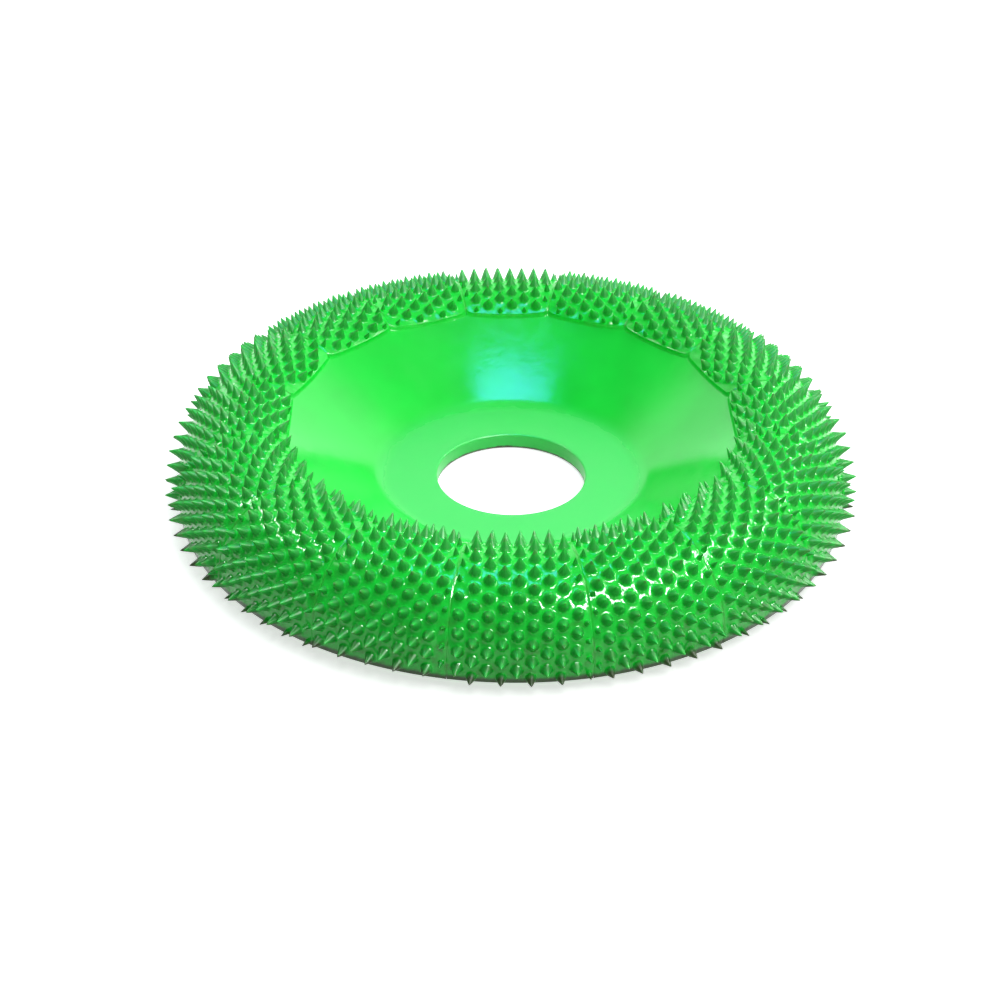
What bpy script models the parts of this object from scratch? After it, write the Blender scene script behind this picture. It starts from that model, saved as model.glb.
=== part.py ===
"""Dished carving disc for a small angle grinder.

A pressed steel body carries a ring of toothed carbide segments on its rounded
rim.  The body has a flat hub with the spindle bore, a cone that rises from the
hub, and a round crown that rolls over into a short upright rim.  Sixteen
segments lie edge to edge around the crown, each a thin curved plate with rows of
sharp conical teeth.

The hub's underside is z = 0, the bore's axis is the Z axis and the teeth point
up and outward.  Lengths below are in millimetres, and MM turns them into metres.
"""

import math

import bmesh
import bpy
from mathutils import Vector
from mathutils.geometry import delaunay_2d_cdt

MM = 0.001

# --- Body ---------------------------------------------------------------------
BORE_D = 22.2            # 7/8 in arbor bore
BORE_EDGE = 0.3          # broken edge around the bore
SHEET_T = 2.45           # steel sheet with its coat
CONE_ANGLE = math.radians(33.5)
HUB_FILLET_R = 5.0       # inside bend between hub and cone

# --- Crown: a round section that the cone runs into ----------------------------
CROWN_R = 38.5           # radius of the crown's top
CROWN_TOP_Z = 14.0       # height of the segments' face there
INNER_SECTION_R = 8.6    # section radius from the cone up to the top
OUTER_SECTION_R = 10.85  # section radius from the top down to the rim
RIM_Z = 1.3              # lower edge of the upright rim

# --- Toothed segments -----------------------------------------------------------
SEGMENTS = 16
PLATE_T = 0.5            # thickness of a segment's plate
GAP = 0.3                # clearance under and between the segments
INNER_R = 32.75          # straight inner edge, measured at its middle
CORNER_CUT = 0.4         # clipped inner corners
PLATE_END_Z = 1.45       # lower edge of the plates
COLUMN_STEP = 1.94       # distance between neighbouring columns of teeth
ROW_STEP = 2.40          # distance between teeth along one column
LAST_ROW = 0.89          # last row's distance from the plate's lower edge
TOOTH_H = 2.0
TOOTH_BASE = 0.85        # from a tooth's middle to the corner of its base
TOOTH_EDGE = 0.07        # least plate left between a tooth and the plate's edge
EDGE_ROOM = 0.50         # from an edge tooth's middle to the plate's edge
EDGE_REACH = 1.1         # farthest that a tooth is moved in from the edge
EDGE_SPACE = 1.5         # least distance from an edge tooth to any other
# The sheets are cut without regard to the pattern, so it starts elsewhere on
# each and runs a little askew.  Six cuts follow each other around the disc.
COLUMN_SHIFTS = (0.15, 0.74, -0.78, -0.67, 0.45, -0.30)
ROW_SHIFTS = (0.0, 1.2, 0.4, 0.7, 0.2, 0.9)
SKEWS = (-0.04, -0.03, 0.02, 0.0, 0.03, -0.02)

# --- Mesh fineness --------------------------------------------------------------
TURN_STEPS = 4 * SEGMENTS
SIDE_STEPS = 12          # along a plate, from its inner to its lower edge
ACROSS_STEPS = 6         # across a plate

GREEN = (0.020, 0.560, 0.075, 1.0)
DARK_GREEN = (0.014, 0.330, 0.055, 1.0)

# --- Derived sizes --------------------------------------------------------------
PITCH = 2 * math.pi / SEGMENTS
INNER_ARC = INNER_SECTION_R * CONE_ANGLE
OUTER_ARC = OUTER_SECTION_R * math.pi / 2
PLATE_END_S = OUTER_ARC + CROWN_TOP_Z - OUTER_SECTION_R - PLATE_END_Z


def clear_scene():
    """Remove every object that the file starts with."""
    for item in list(bpy.data.objects):
        bpy.data.objects.remove(item, do_unlink=True)


def make_material(name, colour, roughness, metallic):
    material = bpy.data.materials.new(name)
    material.use_nodes = True
    shader = material.node_tree.nodes["Principled BSDF"]
    shader.inputs["Base Color"].default_value = colour
    shader.inputs["Roughness"].default_value = roughness
    shader.inputs["Metallic"].default_value = metallic
    material.diffuse_color = colour
    return material


def add_object(name, bm, material):
    """Turn a bmesh in millimetres into a named object in metres."""
    bmesh.ops.scale(bm, vec=(MM, MM, MM), verts=bm.verts)
    bmesh.ops.recalc_face_normals(bm, faces=bm.faces)
    mesh = bpy.data.meshes.new(name)
    bm.to_mesh(mesh)
    bm.free()
    mesh.materials.append(material)
    item = bpy.data.objects.new(name, mesh)
    bpy.context.scene.collection.objects.link(item)
    return item


def arc(centre_r, centre_z, radius, first, last, steps):
    """Points of an arc in the radius-height plane, both ends included."""
    points = []
    for i in range(steps + 1):
        angle = first + (last - first) * i / steps
        point = (centre_r + radius * math.cos(angle), centre_z + radius * math.sin(angle))
        points.append(point)
    return points


def section_point(s, lift):
    """Point of the crown's section in the radius-height plane.

    s runs along the segments' face from the crown's top, outward positive, and
    lift is the distance off that face.
    """
    if s > OUTER_ARC:
        drop = s - OUTER_ARC
        return (CROWN_R + OUTER_SECTION_R + lift, CROWN_TOP_Z - OUTER_SECTION_R - drop)
    section_r = OUTER_SECTION_R if s >= 0 else INNER_SECTION_R
    slope = max(s / section_r, -CONE_ANGLE)
    run = min(s + INNER_ARC, 0.0)
    radius = CROWN_R + (section_r + lift) * math.sin(slope) + run * math.cos(slope)
    height = CROWN_TOP_Z - section_r + (section_r + lift) * math.cos(slope)
    return (radius, height - run * math.sin(slope))


def s_at_radius(radius):
    """Distance s of the point at a radius, on the inner side of the crown."""
    tangent_r = section_point(-INNER_ARC, 0.0)[0]
    if radius < tangent_r:
        return -INNER_ARC - (tangent_r - radius) / math.cos(CONE_ANGLE)
    return INNER_SECTION_R * math.asin((radius - CROWN_R) / INNER_SECTION_R)


def crown_curve(first_s, lift):
    """The crown's section from first_s to where the rim turns upright."""
    inner = [first_s]
    inner += [-INNER_ARC * (1 - i / 3) for i in range(3)]
    outer = [OUTER_ARC * i / 6 for i in range(7)]
    return [section_point(s, lift) for s in inner + outer]


def body_outline():
    """Half section of the body, as one closed loop of (radius, height)."""
    bore_r = BORE_D / 2
    cone_end_r, cone_end_z = section_point(-INNER_ARC, -PLATE_T)
    cone_foot_r = cone_end_r - (cone_end_z - SHEET_T) / math.tan(CONE_ANGLE)
    fillet_r = cone_foot_r - HUB_FILLET_R * math.tan(CONE_ANGLE / 2)
    fillet_z = SHEET_T + HUB_FILLET_R
    down = -math.pi / 2
    bend_end = down + CONE_ANGLE
    step_s = s_at_radius(INNER_R) - GAP
    bed_lift = -PLATE_T - GAP
    inside_lift = -PLATE_T - SHEET_T

    outline = [
        (bore_r + BORE_EDGE, 0.0),
        (bore_r, BORE_EDGE),
        (bore_r, SHEET_T - BORE_EDGE),
        (bore_r + BORE_EDGE, SHEET_T),
    ]
    outline += arc(fillet_r, fillet_z, HUB_FILLET_R, down, bend_end, 3)
    outline.append(section_point(step_s, -PLATE_T))
    outline += crown_curve(step_s, bed_lift)
    outline.append((CROWN_R + OUTER_SECTION_R + bed_lift, RIM_Z))
    outline.append((CROWN_R + OUTER_SECTION_R + inside_lift, RIM_Z))
    outline += list(reversed(crown_curve(step_s, inside_lift)))
    outline += arc(fillet_r, fillet_z, HUB_FILLET_R + SHEET_T, bend_end, down, 3)
    return outline


def build_body():
    """Turn the half section about the Z axis into one closed ring."""
    bm = bmesh.new()
    outline = body_outline()
    rings = []
    for i in range(TURN_STEPS):
        angle = 2 * math.pi * i / TURN_STEPS + PITCH / 2
        ring = []
        for radius, height in outline:
            place = (radius * math.cos(angle), radius * math.sin(angle), height)
            ring.append(bm.verts.new(place))
        rings.append(ring)
    count = len(outline)
    for i in range(TURN_STEPS):
        here = rings[i]
        after = rings[(i + 1) % TURN_STEPS]
        for j in range(count):
            k = (j + 1) % count
            bm.faces.new((here[j], here[k], after[k], after[j]))
    material = make_material("green_coated_steel", GREEN, 0.22, 0.0)
    body = add_object("dished_body", bm, material)
    body.data.shade_smooth()
    body.data.set_sharp_from_angle(angle=math.radians(30))
    return body


def half_width(s):
    """Half the width of a plate at distance s along it."""
    return section_point(s, 0.0)[0] * PITCH / 2 - GAP / 2


def inner_edge_s(w):
    """Where the straight inner edge lies, at a distance w from the middle."""
    return s_at_radius(INNER_R / math.cos(w / INNER_R))


def on_segment(w, s, lift, turn):
    """Point of a segment: w across, s along, lift off its face, at angle turn."""
    radius, height = section_point(s, lift)
    around = turn + w / section_point(s, 0.0)[0]
    return (radius * math.cos(around), radius * math.sin(around), height)


def plate_border():
    """Closed border of a plate in its flat (w, s) coordinates."""
    corner_s = inner_edge_s(half_width(s_at_radius(INNER_R))) + CORNER_CUT
    side = []
    for i in range(SIDE_STEPS + 1):
        s = corner_s + (PLATE_END_S - corner_s) * i / SIDE_STEPS
        side.append((half_width(s), s))
    lower = []
    for i in range(1, ACROSS_STEPS):
        w = half_width(PLATE_END_S) * (1 - 2 * i / ACROSS_STEPS)
        lower.append((w, PLATE_END_S))
    inner = []
    reach = half_width(s_at_radius(INNER_R)) - CORNER_CUT
    for i in range(ACROSS_STEPS + 1):
        w = reach * (2 * i / ACROSS_STEPS - 1)
        inner.append((w, inner_edge_s(w)))
    other_side = [(-w, s) for w, s in reversed(side)]
    return side + lower + other_side + inner


def edge_room(w, s):
    """Distance from a point to the plate's nearest edge, 0 where it is off the plate."""
    inner_s = s_at_radius(INNER_R)
    if not inner_s < s < PLATE_END_S or abs(w) > half_width(s):
        return 0.0
    corner = s - inner_edge_s(half_width(inner_s)) + half_width(inner_s) - abs(w) - CORNER_CUT
    sides = (half_width(s) - abs(w), PLATE_END_S - s, s - inner_edge_s(w))
    return max(0.0, min(*sides, corner / math.sqrt(2)))


def pattern_places(number):
    """Every place (w, s) of the tooth pattern on and around one segment."""
    cut = number % len(COLUMN_SHIFTS)
    columns = int(half_width(PLATE_END_S) / COLUMN_STEP) + 2
    rows = int((PLATE_END_S - s_at_radius(INNER_R)) / ROW_STEP) + 3
    places = []
    for column in range(-columns, columns + 1):
        stagger = 0.0 if column % 2 else ROW_STEP / 2
        for row in range(-1, rows):
            s = PLATE_END_S - LAST_ROW + ROW_SHIFTS[cut] - stagger - row * ROW_STEP
            places.append((COLUMN_SHIFTS[cut] + column * COLUMN_STEP + SKEWS[cut] * s, s))
    return places


def moved_in(w, s):
    """The nearest place with an edge tooth's room to the plate's sides and inner edge."""
    s = max(s, s_at_radius(INNER_R) + EDGE_ROOM)
    reach = half_width(s) - EDGE_ROOM
    w = min(max(w, -reach), reach)
    return (w, max(s, inner_edge_s(w) + EDGE_ROOM))


def tooth_places(number):
    """Middle and width of each tooth on one segment, as (w, s, share of full)."""
    pattern = pattern_places(number)
    places = [place for place in pattern if edge_room(*place) >= EDGE_ROOM]
    for place in pattern:
        moved = moved_in(*place)
        if math.dist(place, moved) > EDGE_REACH or edge_room(*moved) < EDGE_ROOM - 0.05:
            continue
        if all(math.dist(moved, other) >= EDGE_SPACE for other in places):
            places.append(moved)
    return [(w, s, tooth_size(w, s)) for w, s in places]


def tooth_size(w, s):
    """Width of a tooth as a share of a full one, less near the plate's edges."""
    return min(1.0, (edge_room(w, s) - TOOTH_EDGE) / TOOTH_BASE)


def build_segment(number):
    """One plate with its teeth, as a single closed mesh."""
    turn = -math.pi / 2 + number * PITCH
    border = plate_border()
    count = len(border)
    teeth = tooth_places(number)

    flat = [Vector(point) for point in border]
    edges = []
    for w, s, size in teeth:
        first = len(flat)
        reach = TOOTH_BASE * size
        flat += [Vector((w + reach, s)), Vector((w, s + reach))]
        flat += [Vector((w - reach, s)), Vector((w, s - reach))]
        edges += [(first + i, first + (i + 1) % 4) for i in range(4)]
    top = delaunay_2d_cdt(flat, edges, [list(range(count))], 1, 1e-6)

    inside = []
    for i in range(1, SIDE_STEPS):
        s = border[i][1]
        for j in range(1, ACROSS_STEPS):
            inside.append(Vector((border[i][0] * (1 - 2 * j / ACROSS_STEPS), s)))
    under = delaunay_2d_cdt(flat[:count] + inside, [], [list(range(count))], 1, 1e-6)

    bm = bmesh.new()
    top_verts = [bm.verts.new(on_segment(p.x, p.y, 0.0, turn)) for p in flat]
    under_points = flat[:count] + inside
    under_verts = [bm.verts.new(on_segment(p.x, p.y, -PLATE_T, turn)) for p in under_points]

    for face in top[2]:
        corners = [top[3][i][0] for i in face]
        owners = {(i - count) // 4 for i in corners}
        if len(owners) == 1 and min(corners) >= count:
            continue
        bm.faces.new([top_verts[i] for i in corners])
    for index, (w, s, size) in enumerate(teeth):
        first = count + 4 * index
        tip = bm.verts.new(on_segment(w, s, TOOTH_H * math.sqrt(size), turn))
        for i in range(4):
            bm.faces.new((top_verts[first + i], top_verts[first + (i + 1) % 4], tip))
    for face in under[2]:
        bm.faces.new([under_verts[under[3][i][0]] for i in reversed(face)])
    for i in range(count):
        k = (i + 1) % count
        bm.faces.new((top_verts[k], top_verts[i], under_verts[i], under_verts[k]))

    name = f"tooth_segment_{number + 1:02d}"
    material = make_material(f"{name}_coat", DARK_GREEN, 0.35, 0.0)
    return add_object(name, bm, material)


def main():
    clear_scene()
    build_body()
    for number in range(SEGMENTS):
        build_segment(number)


main()
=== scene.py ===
"""Looks of a green coated carving disc for an angle grinder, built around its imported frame.

The dish is one turned piece with rounded edges.  Each of the sixteen toothed
segments is one piece: a thin curved sheet whose coat flows up into round
pointed teeth.  Sizes are in millimetres and MM turns them into metres; the
materials, lights and camera are in metres.
"""

import math

import bmesh
import bpy
import numpy as np
from mathutils import Matrix, Quaternion, Vector
from mathutils.geometry import delaunay_2d_cdt


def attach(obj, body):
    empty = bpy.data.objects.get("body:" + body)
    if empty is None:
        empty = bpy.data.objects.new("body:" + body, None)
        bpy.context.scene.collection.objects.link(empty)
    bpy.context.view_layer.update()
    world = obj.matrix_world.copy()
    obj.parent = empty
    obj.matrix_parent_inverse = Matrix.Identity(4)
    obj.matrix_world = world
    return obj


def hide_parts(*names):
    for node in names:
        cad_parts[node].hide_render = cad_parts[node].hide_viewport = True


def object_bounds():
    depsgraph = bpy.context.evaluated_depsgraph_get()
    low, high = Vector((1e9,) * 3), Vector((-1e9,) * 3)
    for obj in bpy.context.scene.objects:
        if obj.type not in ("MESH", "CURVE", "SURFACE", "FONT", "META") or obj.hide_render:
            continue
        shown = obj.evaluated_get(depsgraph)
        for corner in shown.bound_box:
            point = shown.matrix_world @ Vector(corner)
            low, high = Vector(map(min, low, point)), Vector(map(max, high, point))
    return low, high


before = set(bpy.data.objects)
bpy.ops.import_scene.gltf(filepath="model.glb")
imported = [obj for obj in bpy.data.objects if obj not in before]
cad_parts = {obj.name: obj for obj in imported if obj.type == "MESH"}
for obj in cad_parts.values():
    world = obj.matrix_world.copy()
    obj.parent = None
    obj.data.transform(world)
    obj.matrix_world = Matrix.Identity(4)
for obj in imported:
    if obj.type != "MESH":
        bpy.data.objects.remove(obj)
cad_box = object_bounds()

MM = 0.001

# --- Shape of the dish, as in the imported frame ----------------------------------
BORE_R = 11.1
SHEET_T = 2.45
CONE_ANGLE = math.radians(33.5)
HUB_FILLET_R = 5.0
CROWN_R = 38.5
CROWN_TOP_Z = 14.0
INNER_SECTION_R = 8.6
OUTER_SECTION_R = 10.85
RIM_Z = 1.3

# --- Shape of the toothed segments -----------------------------------------------
SEGMENTS = 16
PLATE_T = 0.5
GAP = 0.3
INNER_R = 32.75          # straight inner edge, measured at its middle
CORNER_CUT = 0.4
PLATE_END_Z = 1.45
COLUMN_STEP = 1.94
ROW_STEP = 2.40
LAST_ROW = 0.89          # last row's distance from the plate's lower edge
TOOTH_H = 2.0
TOOTH_BASE = 0.85
TOOTH_EDGE = 0.07        # least plate left between a tooth and the plate's edge
EDGE_ROOM = 0.50         # from an edge tooth's middle to the plate's edge
EDGE_REACH = 1.1         # farthest that a tooth is moved in from the edge
EDGE_SPACE = 1.5         # least distance from an edge tooth to any other
# The pattern starts elsewhere on each segment, in a cycle of six cuts.
COLUMN_SHIFTS = (0.15, 0.74, -0.78, -0.67, 0.45, -0.30)
ROW_SHIFTS = (0.0, 1.2, 0.4, 0.7, 0.2, 0.9)
SKEWS = (-0.04, -0.03, 0.02, 0.0, 0.03, -0.02)

# --- Finish -----------------------------------------------------------------------
LIP_R = 0.3              # rounded coat over the dish's edges
SHARP_ANGLE = math.radians(50)
TOOTH_SIDES = 12
# Half section of a full tooth as (radius, height), from the foot of its skirt up.
TOOTH_PROFILE = (
    (1.02, 0.0), (0.93, 0.04), (0.85, 0.12), (0.765, 0.26), (0.675, 0.47),
    (0.56, 0.75), (0.43, 1.07), (0.30, 1.40), (0.175, 1.72), (0.07, 1.93),
)
# A plate's edge as (outward, lift): rounded on top, then the coat's meniscus.
EDGES = {
    "seam": ((-0.05, 0.0), (-0.02, -0.004), (0.01, -0.015), (0.05, -0.035),
             (0.10, -0.06), (0.148, -0.075), (0.148, -0.53)),
    "cone": ((-0.05, 0.0), (0.0, -0.02), (0.06, -0.08), (0.14, -0.20),
             (0.26, -0.34), (0.42, -0.46), (0.60, -0.53)),
    "rim": ((-0.05, 0.0), (-0.015, -0.015), (0.0, -0.06), (0.02, -0.20),
            (0.04, -0.33), (0.05, -0.45), (0.06, -0.53)),
}
EDGE_RINGS = len(EDGES["seam"])
# How much of the seams' stain each edge carries, and the plate just beside it.
EDGE_STAIN = {"seam": 1.0, "cone": 0.15, "rim": 1.0}
BESIDE_STAIN = {"seam": 0.5, "cone": 0.1, "rim": 0.1}
NEAR_SEAM = 0.5          # width of the stain beside a seam

# --- Mesh fineness ----------------------------------------------------------------
TURN_STEPS = 288         # around the dish
SIDE_STEPS = 44          # along a plate's side
LOWER_STEPS = 26         # along its lower edge
INNER_STEPS = 16         # along its inner edge
UNDER_STEPS = (24, 8)    # along and across its underside

# --- Derived sizes ----------------------------------------------------------------
PITCH = 2 * math.pi / SEGMENTS
INNER_ARC = INNER_SECTION_R * CONE_ANGLE
OUTER_ARC = OUTER_SECTION_R * math.pi / 2
PLATE_END_S = OUTER_ARC + CROWN_TOP_Z - OUTER_SECTION_R - PLATE_END_Z

# --- Colours ----------------------------------------------------------------------
GREEN = (0.013, 0.850, 0.062, 1.0)
GREEN_DEEP = (0.010, 0.720, 0.048, 1.0)
GREEN_DARK = (0.012, 0.450, 0.045, 1.0)
GREEN_HUB_SHEEN = (0.036, 0.780, 0.110, 1.0)
OLIVE = (0.070, 0.170, 0.025, 1.0)
DARK_BROWN = (0.045, 0.035, 0.018, 1.0)
DULL = (0.100, 0.230, 0.050, 1.0)

# --- Room and lamps ---------------------------------------------------------------
FLOOR_HALF = 6.0
BACK_WALL = 1.65
SIDE_WALLS = (0.22, 0.50)
CEILING = 0.24
WHITE = (1.0, 1.0, 1.0)
PANEL_COLOUR = (0.09, 0.35, 1.0)
PANEL_W = 0.054
PANEL_Z = 0.130
# Two panels over the dish as (name, first y, last y, radiance).
PANELS = (("panel_low", -0.024, 0.003, 16.0), ("panel_tall", -0.024, 0.0125, 16.0))
# Lamps as (name, place, aim, direction of the first side, size, radiance).
STRIPS = (
    ("front_strip", (0.072, -0.096, 0.150), (0.015, -0.043, 0.009), (1, 0.05, 0),
     (0.062, 0.040), 80.0),
    ("right_strip", (0.150, 0.036, 0.150), (0.03, -0.02, 0.01), (0.134, 0.218, 0),
     (0.210, 0.014), 50.0),
    ("left_strip", (-0.146, 0.035, 0.150), (-0.03, -0.02, 0.01), (-0.057, 0.068, 0),
     (0.089, 0.014), 65.0),
)

# --- Camera -----------------------------------------------------------------------
CAMERA_DISTANCE = 0.310
CAMERA_ELEVATION = math.radians(32.44)
CAMERA_AZIMUTH = math.radians(-1.75)
CAMERA_ROLL = math.radians(0.71)
CAMERA_LENS = 74.4
CAMERA_SHIFT = (-0.0111, -0.0269)


# --- Section of the crown ---------------------------------------------------------
def section_point(s, lift):
    """Radius and height at distance s along the crown's section, lift off its face."""
    if s > OUTER_ARC:
        drop = s - OUTER_ARC
        return (CROWN_R + OUTER_SECTION_R + lift, CROWN_TOP_Z - OUTER_SECTION_R - drop)
    section_r = OUTER_SECTION_R if s >= 0 else INNER_SECTION_R
    slope = max(s / section_r, -CONE_ANGLE)
    run = min(s + INNER_ARC, 0.0)
    radius = CROWN_R + (section_r + lift) * math.sin(slope) + run * math.cos(slope)
    height = CROWN_TOP_Z - section_r + (section_r + lift) * math.cos(slope)
    return (radius, height - run * math.sin(slope))


def s_at_radius(radius):
    """Distance s of the point at a radius, on the inner side of the crown."""
    tangent_r = section_point(-INNER_ARC, 0.0)[0]
    if radius < tangent_r:
        return -INNER_ARC - (tangent_r - radius) / math.cos(CONE_ANGLE)
    return INNER_SECTION_R * math.asin((radius - CROWN_R) / INNER_SECTION_R)


INNER_S = s_at_radius(INNER_R)


def half_width(s):
    """Half the width of a plate at distance s along it."""
    return section_point(s, 0.0)[0] * PITCH / 2 - GAP / 2


def inner_edge_s(w):
    """Where the straight inner edge lies, at a distance w from the middle."""
    return s_at_radius(INNER_R / math.cos(w / INNER_R))


def on_segment(w, s, lift, turn):
    """Point of a segment: w across, s along, lift off its face, at angle turn."""
    radius, height = section_point(s, lift)
    around = turn + w / section_point(s, 0.0)[0]
    return Vector((radius * math.cos(around), radius * math.sin(around), height))


# --- Tooth pattern ----------------------------------------------------------------
def room_at(w, s):
    """Distance from a point of a plate to the plate's nearest edge."""
    edge = half_width(INNER_S)
    if not INNER_S < s < PLATE_END_S or abs(w) > half_width(s):
        return 0.0
    corner = s - inner_edge_s(edge) + edge - abs(w) - CORNER_CUT
    sides = (half_width(s) - abs(w), PLATE_END_S - s, s - inner_edge_s(w))
    return max(0.0, min(*sides, corner / math.sqrt(2)))


def pattern_places(number):
    """Every place (w, s) of the tooth pattern on and around one segment."""
    cut = number % len(COLUMN_SHIFTS)
    columns = int(half_width(PLATE_END_S) / COLUMN_STEP) + 2
    rows = int((PLATE_END_S - INNER_S) / ROW_STEP) + 3
    places = []
    for column in range(-columns, columns + 1):
        stagger = 0.0 if column % 2 else ROW_STEP / 2
        for row in range(-1, rows):
            s = PLATE_END_S - LAST_ROW + ROW_SHIFTS[cut] - stagger - row * ROW_STEP
            places.append((COLUMN_SHIFTS[cut] + column * COLUMN_STEP + SKEWS[cut] * s, s))
    return places


def moved_in(w, s):
    """The nearest place with an edge tooth's room to the plate's sides and inner edge."""
    s = max(s, INNER_S + EDGE_ROOM)
    reach = half_width(s) - EDGE_ROOM
    w = min(max(w, -reach), reach)
    return (w, max(s, inner_edge_s(w) + EDGE_ROOM))


def tooth_places(number):
    """Middle, size and free room of each tooth on one segment."""
    pattern = pattern_places(number)
    places = [place for place in pattern if room_at(*place) >= EDGE_ROOM]
    for place in pattern:
        moved = moved_in(*place)
        if math.dist(place, moved) > EDGE_REACH or room_at(*moved) < EDGE_ROOM - 0.05:
            continue
        if all(math.dist(moved, other) >= EDGE_SPACE for other in places):
            places.append(moved)
    teeth = []
    for w, s in places:
        room = room_at(w, s)
        teeth.append((w, s, min(1.0, (room - TOOTH_EDGE) / TOOTH_BASE), room))
    return teeth


# --- Outlines ---------------------------------------------------------------------
def spread(first, last, steps):
    """Evenly spaced numbers, both ends included."""
    return [first + (last - first) * i / steps for i in range(steps + 1)]


def arc(centre, radius, first, last, steps):
    """Points of an arc, both ends included."""
    return [(centre[0] + radius * math.cos(a), centre[1] + radius * math.sin(a))
            for a in spread(first, last, steps)]


def between(first, last, steps):
    """Points of a straight line, both ends left out."""
    return [(first[0] + (last[0] - first[0]) * t, first[1] + (last[1] - first[1]) * t)
            for t in spread(0.0, 1.0, steps)[1:-1]]


def plate_border():
    """Closed border of a plate as (w, s, edge), counter-clockwise from the right side."""
    corner_s = inner_edge_s(half_width(INNER_S)) + CORNER_CUT
    lower_reach = half_width(PLATE_END_S)
    inner_reach = half_width(INNER_S) - CORNER_CUT
    right = [(half_width(s), s, "seam") for s in spread(corner_s, PLATE_END_S, SIDE_STEPS)]
    lower = [(w, PLATE_END_S, "rim") for w in spread(lower_reach, -lower_reach, LOWER_STEPS)[1:-1]]
    left = [(-w, s, edge) for w, s, edge in reversed(right)]
    inner = [(w, inner_edge_s(w), "cone") for w in spread(-inner_reach, inner_reach, INNER_STEPS)]
    corner_w = (left[-1][0] + inner[0][0]) / 2
    middle_s = (left[-1][1] + inner[0][1]) / 2
    return (right + lower + left + [(corner_w, middle_s, "cone")] + inner
            + [(-corner_w, middle_s, "cone")])


def outward(border):
    """Unit normal of each border point in the (w, s) plane, away from the plate."""
    points = np.array([(w, s) for w, s, _ in border])
    along = np.roll(points, -1, 0) - points
    along /= np.linalg.norm(along, axis=1)[:, None]
    normal = np.stack((along[:, 1], -along[:, 0]), 1)
    both = normal + np.roll(normal, 1, 0)
    both /= np.linalg.norm(both, axis=1)[:, None]
    middle = points.mean(0)
    if ((points[0] - middle) @ both[0]) < 0:
        both = -both
    return both


def body_outline():
    """Half section of the dish, from the bore's lower lip round over the outside."""
    cone_end = section_point(-INNER_ARC, -PLATE_T)
    foot_r = cone_end[0] - (cone_end[1] - SHEET_T) / math.tan(CONE_ANGLE)
    fillet = (foot_r - HUB_FILLET_R * math.tan(CONE_ANGLE / 2), SHEET_T + HUB_FILLET_R)
    down = -math.pi / 2
    lip_r = BORE_R + LIP_R
    inside = -PLATE_T - SHEET_T
    rim_out = CROWN_R + OUTER_SECTION_R - PLATE_T
    rim_in = CROWN_R + OUTER_SECTION_R + inside
    crown_s = spread(-INNER_ARC, 0.0, 12)[:-1] + spread(0.0, OUTER_ARC, 30)

    outline = arc((lip_r, LIP_R), LIP_R, down, -math.pi, 5)
    outline += arc((lip_r, SHEET_T - LIP_R), LIP_R, math.pi, math.pi / 2, 5)
    outline += [(r, SHEET_T) for r in spread(lip_r, fillet[0], 8)[1:-1]]
    outline += arc(fillet, HUB_FILLET_R, down, down + CONE_ANGLE, 14)
    outline += between(outline[-1], cone_end, 14)
    outline += [section_point(s, -PLATE_T) for s in crown_s]
    outline += arc((rim_out - LIP_R, RIM_Z + LIP_R), LIP_R, 0.0, down, 5)
    outline += arc((rim_in + LIP_R, RIM_Z + LIP_R), LIP_R, down, -math.pi, 5)
    outline += [section_point(s, inside) for s in reversed(crown_s)]
    under_bend = arc(fillet, HUB_FILLET_R + SHEET_T, down + CONE_ANGLE, down, 14)
    outline += between(outline[-1], under_bend[0], 12)
    return outline + under_bend


# --- Pieces -----------------------------------------------------------------------
def make_piece(name, verts, faces, values, material, replaced):
    """A smooth shaded piece in metres from millimetre points, with its float values."""
    mesh = bpy.data.meshes.new(name)
    mesh.from_pydata([tuple(c * MM for c in v) for v in verts], [], faces)
    bm = bmesh.new()
    bm.from_mesh(mesh)
    bmesh.ops.recalc_face_normals(bm, faces=bm.faces)
    bm.to_mesh(mesh)
    bm.free()
    mesh.shade_smooth()
    mesh.set_sharp_from_angle(angle=SHARP_ANGLE)
    for key, numbers in values.items():
        layer = mesh.attributes.new(key, "FLOAT", "POINT")
        layer.data.foreach_set("value", np.array(numbers, np.float32))
    mesh.materials.append(material)
    piece = bpy.data.objects.new(name, mesh)
    bpy.context.scene.collection.objects.link(piece)
    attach(piece, "root")
    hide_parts(replaced)
    return piece


def build_body(material):
    """Turn the half section about the Z axis."""
    outline = body_outline()
    count = len(outline)
    verts = []
    for i in range(TURN_STEPS):
        angle = 2 * math.pi * i / TURN_STEPS
        verts += [(r * math.cos(angle), r * math.sin(angle), z) for r, z in outline]
    faces = []
    for i in range(TURN_STEPS):
        here = i * count
        after = (i + 1) % TURN_STEPS * count
        for j in range(count):
            k = (j + 1) % count
            faces.append((here + j, here + k, after + k, after + j))
    return make_piece("disc_dish", verts, faces, {}, material, "dished_body")


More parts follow.
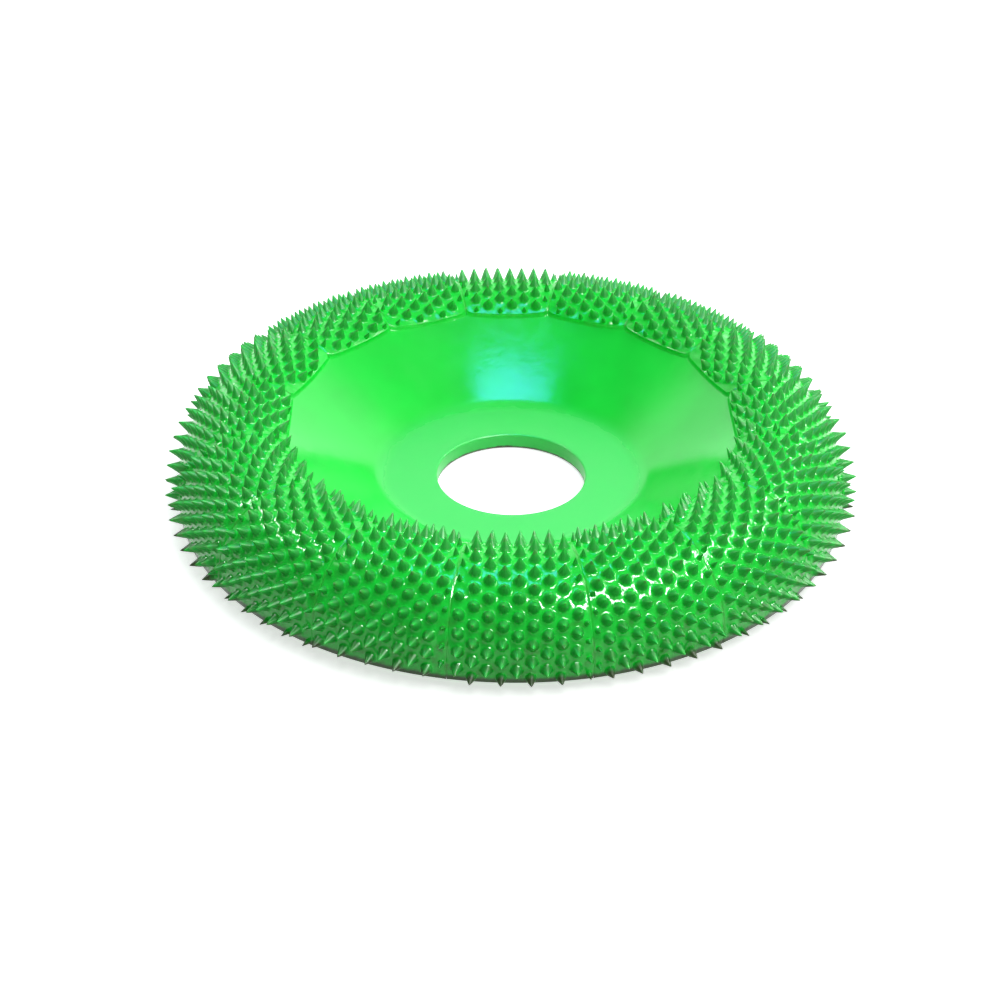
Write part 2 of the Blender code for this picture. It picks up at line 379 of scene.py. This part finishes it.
class Sheet:
    """One toothed segment while it is put together."""

    def __init__(self, number):
        self.turn = -math.pi / 2 + number * PITCH
        self.border = plate_border()
        self.normals = outward(self.border)
        self.teeth = tooth_places(number)
        self.verts = []
        self.faces = []
        self.values = {"tooth_height": [], "seam": [], "worn": []}

    def add(self, point, tooth_height=0.0, seam=0.0, worn=0.0):
        """Add a point with its values and return its index."""
        self.verts.append(point)
        for key, value in zip(self.values, (tooth_height, seam, worn)):
            self.values[key].append(value)
        return len(self.verts) - 1

    def border_point(self, i, ring):
        """Place of a border point on one ring of its edge, as (w, s, lift)."""
        w, s, edge = self.border[i]
        out, lift = EDGES[edge][ring]
        return (w + self.normals[i][0] * out, s + self.normals[i][1] * out, lift)

    def add_web(self, draws):
        """The face between the teeth.  Returns each tooth's foot as (first, radius, phase)."""
        count = len(self.border)
        flat = []
        for i in range(count):
            w, s, lift = self.border_point(i, 0)
            flat.append(Vector((w, s)))
            self.add(on_segment(w, s, lift, self.turn), seam=BESIDE_STAIN[self.border[i][2]])
        feet = []
        edges = []
        for w, s, size, room in self.teeth:
            foot = min(TOOTH_PROFILE[0][0] * size, room - TOOTH_EDGE)
            phase = draws.uniform(0, 2 * math.pi / TOOTH_SIDES)
            first = len(flat)
            for k in range(TOOTH_SIDES):
                angle = phase + 2 * math.pi * k / TOOTH_SIDES
                here_w = w + foot * math.cos(angle)
                here_s = s + foot * math.sin(angle)
                near = max(0.0, 1 - (half_width(here_s) - abs(here_w)) / NEAR_SEAM)
                flat.append(Vector((here_w, here_s)))
                self.add(on_segment(here_w, here_s, 0.0, self.turn),
                         seam=BESIDE_STAIN["seam"] * near)
            edges += [(first + k, first + (k + 1) % TOOTH_SIDES) for k in range(TOOTH_SIDES)]
            feet.append((first, foot, phase))
        web = delaunay_2d_cdt(flat, edges, [list(range(count))], 1, 1e-6)
        for face in web[2]:
            corners = [web[3][i][0] for i in face]
            owners = {(i - count) // TOOTH_SIDES for i in corners}
            if len(owners) == 1 and min(corners) >= count:
                continue
            self.faces.append(corners)
        return feet

    def add_tooth(self, tooth, place, draws):
        """Rings from a tooth's foot up to its point, a little leaning and uneven."""
        w, s, size, _ = tooth
        first, foot, phase = place
        base = on_segment(w, s, 0.0, self.turn)
        axis = (on_segment(w, s, 1.0, self.turn) - base).normalized()
        across = (on_segment(w + 0.1, s, 0.0, self.turn) - base).normalized()
        along = axis.cross(across)
        tall = math.sqrt(size) * draws.uniform(0.93, 1.0)
        lean = across * draws.normal(0, 0.02) + along * draws.normal(0, 0.02)
        worn = draws.uniform(0.0, 1.0)
        below = [first + k for k in range(TOOTH_SIDES)]
        for ring, (radius, rise) in enumerate(TOOTH_PROFILE[1:], 1):
            reach = min(radius * size, foot * (1 - 0.05 * ring))
            up = rise * tall
            here = []
            for k in range(TOOTH_SIDES):
                angle = phase + 2 * math.pi * k / TOOTH_SIDES
                point = on_segment(w + reach * math.cos(angle), s + reach * math.sin(angle),
                                   0.0, self.turn)
                here.append(self.add(point + (axis + lean) * up, up / TOOTH_H, 0.0, worn))
            for k in range(TOOTH_SIDES):
                m = (k + 1) % TOOTH_SIDES
                self.faces.append((below[k], below[m], here[m], here[k]))
            below = here
        tip = self.add(base + (axis + lean) * (TOOTH_H * tall), tall, 0.0, worn)
        for k in range(TOOTH_SIDES):
            self.faces.append((below[k], below[(k + 1) % TOOTH_SIDES], tip))

    def add_edge(self):
        """Rings outward and down to the dish.  Returns the last ring."""
        count = len(self.border)
        below = list(range(count))
        for ring in range(1, EDGE_RINGS):
            here = []
            for i in range(count):
                point = on_segment(*self.border_point(i, ring), self.turn)
                here.append(self.add(point, seam=EDGE_STAIN[self.border[i][2]]))
            for i in range(count):
                k = (i + 1) % count
                self.faces.append((below[k], below[i], here[i], here[k]))
            below = here
        return below

    def add_underside(self, ring):
        """The face that lies on the dish."""
        count = len(ring)
        lift = EDGES["seam"][-1][1]
        under = [Vector(self.border_point(i, EDGE_RINGS - 1)[:2]) for i in range(count)]
        first_inside = len(self.verts)
        for s in spread(INNER_S + 1.0, PLATE_END_S - 0.4, UNDER_STEPS[0]):
            for w in spread(-half_width(s) + 0.7, half_width(s) - 0.7, UNDER_STEPS[1]):
                under.append(Vector((w, s)))
                self.add(on_segment(w, s, lift, self.turn))
        sheet = delaunay_2d_cdt(under, [], [list(range(count))], 1, 1e-6)
        for face in sheet[2]:
            corners = [sheet[3][i][0] for i in reversed(face)]
            self.faces.append([ring[i] if i < count else first_inside + i - count for i in corners])


def build_segment(number, material, draws):
    """One toothed sheet as a closed piece."""
    sheet = Sheet(number)
    feet = sheet.add_web(draws)
    for tooth, place in zip(sheet.teeth, feet):
        sheet.add_tooth(tooth, place, draws)
    sheet.add_underside(sheet.add_edge())
    return make_piece(f"tooth_sheet_{number + 1:02d}", sheet.verts, sheet.faces, sheet.values,
                      material, f"tooth_segment_{number + 1:02d}")


# --- Materials --------------------------------------------------------------------
class Nodes:
    """Short hand for the node tree of a material or of the world."""

    def __init__(self, owner):
        owner.use_nodes = True
        self.owner = owner
        self.tree = owner.node_tree
        self.shader = self.tree.nodes.get("Principled BSDF")

    def link(self, source, target):
        self.tree.links.new(source, target)

    def value(self, node, key, thing):
        """Set an input to a number or colour, or link it to another node's output."""
        socket = node.inputs[key]
        if isinstance(thing, bpy.types.NodeSocket):
            self.link(thing, socket)
        else:
            socket.default_value = thing

    def place(self, output="Object"):
        return self.tree.nodes.new("ShaderNodeTexCoord").outputs[output]

    def split(self, place):
        node = self.tree.nodes.new("ShaderNodeSeparateXYZ")
        self.link(place, node.inputs[0])
        return node.outputs

    def attribute(self, name):
        node = self.tree.nodes.new("ShaderNodeAttribute")
        node.attribute_name = name
        return node.outputs["Fac"]

    def noise(self, scale, detail=2.0, roughness=0.5):
        node = self.tree.nodes.new("ShaderNodeTexNoise")
        self.value(node, "Vector", self.place())
        self.value(node, "Scale", scale)
        self.value(node, "Detail", detail)
        self.value(node, "Roughness", roughness)
        return node.outputs["Fac"]

    def math(self, operation, *things):
        node = self.tree.nodes.new("ShaderNodeMath")
        node.operation = operation
        for i, thing in enumerate(things):
            self.value(node, i, thing)
        return node.outputs[0]

    def ramp(self, thing, low, high, first=0.0, last=1.0):
        """A smooth step from first at low to last at high."""
        node = self.tree.nodes.new("ShaderNodeMapRange")
        node.interpolation_type = "SMOOTHSTEP"
        for key, number in (("Value", thing), ("From Min", low), ("From Max", high),
                            ("To Min", first), ("To Max", last)):
            self.value(node, key, number)
        return node.outputs[0]

    def mix(self, share, one, other):
        node = self.tree.nodes.new("ShaderNodeMix")
        node.data_type = "RGBA"
        self.value(node, 0, share)
        self.value(node, 6, one)
        self.value(node, 7, other)
        return node.outputs[2]

    def bump(self, height, distance, normal=None):
        node = self.tree.nodes.new("ShaderNodeBump")
        self.value(node, "Height", height)
        self.value(node, "Distance", distance)
        self.value(node, "Strength", 1.0)
        if normal is not None:
            self.link(normal, node.inputs["Normal"])
        return node.outputs["Normal"]


def body_material():
    """Glossy green coat, flatter on the hub and painted paler there as a painted sheen, with dark
    brown lower edges.
    """
    m = Nodes(bpy.data.materials.new("green_coat_body"))
    x, y, z = m.split(m.place())
    radius = m.math("SQRT", m.math("ADD", m.math("MULTIPLY", x, x), m.math("MULTIPLY", y, y)))

    colour = m.mix(m.ramp(m.noise(60.0, 3.0), 0.35, 0.75), GREEN, GREEN_DEEP)
    # The hub is painted paler as a painted sheen: the pale reflection on its flat top is put into
    # its colour.
    hub = m.ramp(radius, 0.0215, 0.0175)
    colour = m.mix(hub, colour, GREEN_HUB_SHEEN)
    # Dark brown on the lower lip of the bore and on the rim's lower edge.
    ragged = m.math("MULTIPLY", m.noise(900.0, 3.0), 0.0005)
    level = m.math("SUBTRACT", z, ragged)
    bore = m.math("MULTIPLY", m.ramp(radius, 0.0116, 0.0112), m.ramp(level, 0.0003, 0.0))
    rim = m.math("MULTIPLY", m.ramp(radius, 0.0455, 0.0462), m.ramp(level, 0.00145, 0.00105))
    colour = m.mix(m.math("MAXIMUM", bore, rim), colour, DARK_BROWN)
    m.value(m.shader, "Base Color", colour)

    # The hub is sanded flatter than the cone, so it shines less sharply.
    sheen = m.ramp(m.noise(350.0, 3.0), 0.3, 0.7, 0.13, 0.17)
    m.value(m.shader, "Roughness", m.math("ADD", sheen, m.math("MULTIPLY", hub, 0.20)))
    m.shader.inputs["IOR"].default_value = 1.5
    m.shader.inputs["Specular IOR Level"].default_value = 0.5
    m.value(m.shader, "Normal", m.bump(m.noise(700.0, 2.0), 0.000012))
    return m.owner


def tooth_material():
    """Green coat, shiny between the teeth and thin on their points."""
    m = Nodes(bpy.data.materials.new("green_coat_teeth"))
    height = m.attribute("tooth_height")
    seam = m.attribute("seam")
    worn = m.attribute("worn")
    z = m.split(m.place())[2]
    fine = m.noise(1600.0, 3.0, 0.6)

    colour = m.mix(m.ramp(m.noise(140.0, 3.0), 0.3, 0.75), GREEN, GREEN_DEEP)
    # Darker green low on each tooth's flank, less of it towards the point: partly the coat's deeper
    # tone, partly painted shade between the teeth.
    low = m.ramp(m.math("ADD", height, m.math("MULTIPLY", fine, 0.06)), 0.04, 0.22)
    high = m.ramp(height, 0.35, 0.85, 1.0, 0.35)
    colour = m.mix(m.math("MULTIPLY", low, high), colour, GREEN_DARK)
    # Some points are worn more than others.
    reach = m.math("ADD", height, m.math("MULTIPLY", m.math("SUBTRACT", worn, 0.5), 0.5))
    reach = m.math("ADD", reach, m.math("MULTIPLY", m.math("SUBTRACT", fine, 0.5), 0.5))
    colour = m.mix(m.math("MULTIPLY", m.ramp(reach, 0.74, 1.08), 0.6), colour, DULL)
    stain = m.math("MULTIPLY", m.ramp(seam, 0.2, 0.9), m.ramp(m.noise(420.0, 3.0), 0.35, 0.65))
    colour = m.mix(m.math("MULTIPLY", stain, 0.35), colour, DULL)
    # Dust caught between the teeth, more of it towards the rim.
    dust = m.math("MULTIPLY", m.ramp(m.noise(520.0, 3.0, 0.6), 0.48, 0.72),
                  m.ramp(z, 0.0150, 0.0050, 0.10, 0.45))
    colour = m.mix(dust, colour, OLIVE)
    # Dark brown along the rim's lower end, and painted shade on the last row's points, which lie
    # under the rim.
    level = m.math("SUBTRACT", z, m.math("MULTIPLY", m.noise(900.0, 3.0), 0.0006))
    point = m.math("MULTIPLY", m.ramp(height, 0.15, 0.50), m.ramp(level, 0.0031, 0.0026))
    dark_edge_and_shaded_points = m.math("MAXIMUM", m.ramp(level, 0.0022, 0.0015), point)
    colour = m.mix(m.math("MULTIPLY", dark_edge_and_shaded_points, 0.9), colour, DARK_BROWN)
    m.value(m.shader, "Base Color", colour)

    m.value(m.shader, "Roughness", m.ramp(height, 0.02, 0.25, 0.13, 0.46))
    m.shader.inputs["IOR"].default_value = 1.45
    m.shader.inputs["Specular IOR Level"].default_value = 0.42
    pooled = m.bump(m.noise(520.0, 2.0), 0.00006)
    m.value(m.shader, "Normal", m.bump(fine, 0.00003, pooled))
    return m.owner


# --- Stage ------------------------------------------------------------------------
def build_floor():
    """A plain pale floor just under the disc."""
    mesh = bpy.data.meshes.new("floor")
    far = FLOOR_HALF
    mesh.from_pydata([(-far, -far, 0), (far, -far, 0), (far, far, 0), (-far, far, 0)], [],
                     [(0, 1, 2, 3)])
    m = Nodes(bpy.data.materials.new("pale_floor"))
    tone = m.mix(m.noise(30.0, 2.0), (0.93, 0.93, 0.93, 1.0), (0.90, 0.90, 0.90, 1.0))
    m.value(m.shader, "Base Color", tone)
    m.shader.inputs["Roughness"].default_value = 0.8
    m.shader.inputs["Specular IOR Level"].default_value = 0.1
    m.shader.inputs["Emission Color"].default_value = (1.0, 1.0, 1.0, 1.0)
    m.shader.inputs["Emission Strength"].default_value = 0.60
    mesh.materials.append(m.owner)
    floor = bpy.data.objects.new("floor", mesh)
    bpy.context.scene.collection.objects.link(floor)
    floor.location.z = cad_box[0].z - 0.00002
    floor.visible_diffuse = False
    return floor


def build_world():
    """Bright wall behind, a dimmer room at the sides and in front, a dark ceiling."""
    world = bpy.data.worlds.new("studio")
    bpy.context.scene.world = world
    m = Nodes(world)
    x, y, z = m.split(m.place("Generated"))
    side = m.ramp(x, -0.7, 0.8, *SIDE_WALLS)
    behind = m.ramp(y, 0.15, 0.65)
    wall = m.math("ADD", side, m.math("MULTIPLY", behind, m.math("SUBTRACT", BACK_WALL, side)))
    ceiling = m.ramp(z, 0.56, 0.80, 1.0, CEILING)
    back = m.tree.nodes["Background"]
    back.inputs["Color"].default_value = (0.96, 1.0, 1.05, 1.0)
    m.link(m.math("MULTIPLY", wall, ceiling), back.inputs["Strength"])


def area_light(name, place, aim, along, size, colour, radiance):
    """A rectangular light of a given brightness, its first side lying along a direction."""
    light = bpy.data.lights.new(name, "AREA")
    light.shape = "RECTANGLE"
    light.size, light.size_y = size
    light.color = colour
    light.energy = radiance * math.pi * size[0] * size[1]
    item = bpy.data.objects.new(name, light)
    bpy.context.scene.collection.objects.link(item)
    away = (Vector(place) - Vector(aim)).normalized()
    first = Vector(along)
    first = (first - away * first.dot(away)).normalized()
    turn = Matrix((first, away.cross(first), away)).transposed()
    item.matrix_world = Matrix.Translation(place) @ turn.to_4x4()
    item.visible_camera = False
    return item


def build_lights():
    """A large soft lamp for the shading, and small ones that only show as reflections."""
    overhead = area_light("overhead", (0.28, -0.06, 0.85), (0, 0, 0), (0, 1, 0), (0.9, 0.9),
                          WHITE, 2.90)
    overhead.visible_glossy = False
    for name, low, high, radiance in PANELS:
        middle = (low + high) / 2
        panel = area_light(name, (-0.001, middle, PANEL_Z), (-0.001, middle, 0.0), (1, 0, 0),
                           (PANEL_W, high - low), PANEL_COLOUR, radiance)
        panel.visible_diffuse = False
    for name, place, aim, along, size, radiance in STRIPS:
        strip = area_light(name, place, aim, along, size, WHITE, radiance)
        strip.visible_diffuse = False


def build_camera():
    """The camera, aimed at the middle of the hub's top."""
    target = Vector((0.0, 0.0, SHEET_T * MM))
    flat = math.cos(CAMERA_ELEVATION)
    back = Vector((math.sin(CAMERA_AZIMUTH) * flat, -math.cos(CAMERA_AZIMUTH) * flat,
                   math.sin(CAMERA_ELEVATION)))
    camera = bpy.data.objects.new("camera", bpy.data.cameras.new("camera"))
    bpy.context.scene.collection.objects.link(camera)
    camera.location = target + back * CAMERA_DISTANCE
    camera.rotation_mode = "QUATERNION"
    roll = Quaternion((0, 0, 1), CAMERA_ROLL)
    camera.rotation_quaternion = (-back).to_track_quat("-Z", "Y") @ roll
    camera.data.sensor_width = 36.0
    camera.data.lens = CAMERA_LENS
    camera.data.shift_x, camera.data.shift_y = CAMERA_SHIFT
    camera.data.clip_start, camera.data.clip_end = 0.01, 20.0
    bpy.context.scene.camera = camera


def main():
    bpy.context.scene.view_settings.view_transform = "Standard"
    draws = np.random.RandomState(7)
    build_body(body_material())
    teeth_coat = tooth_material()
    for number in range(SEGMENTS):
        build_segment(number, teeth_coat, draws)
    build_floor()
    build_world()
    build_lights()
    build_camera()


main()
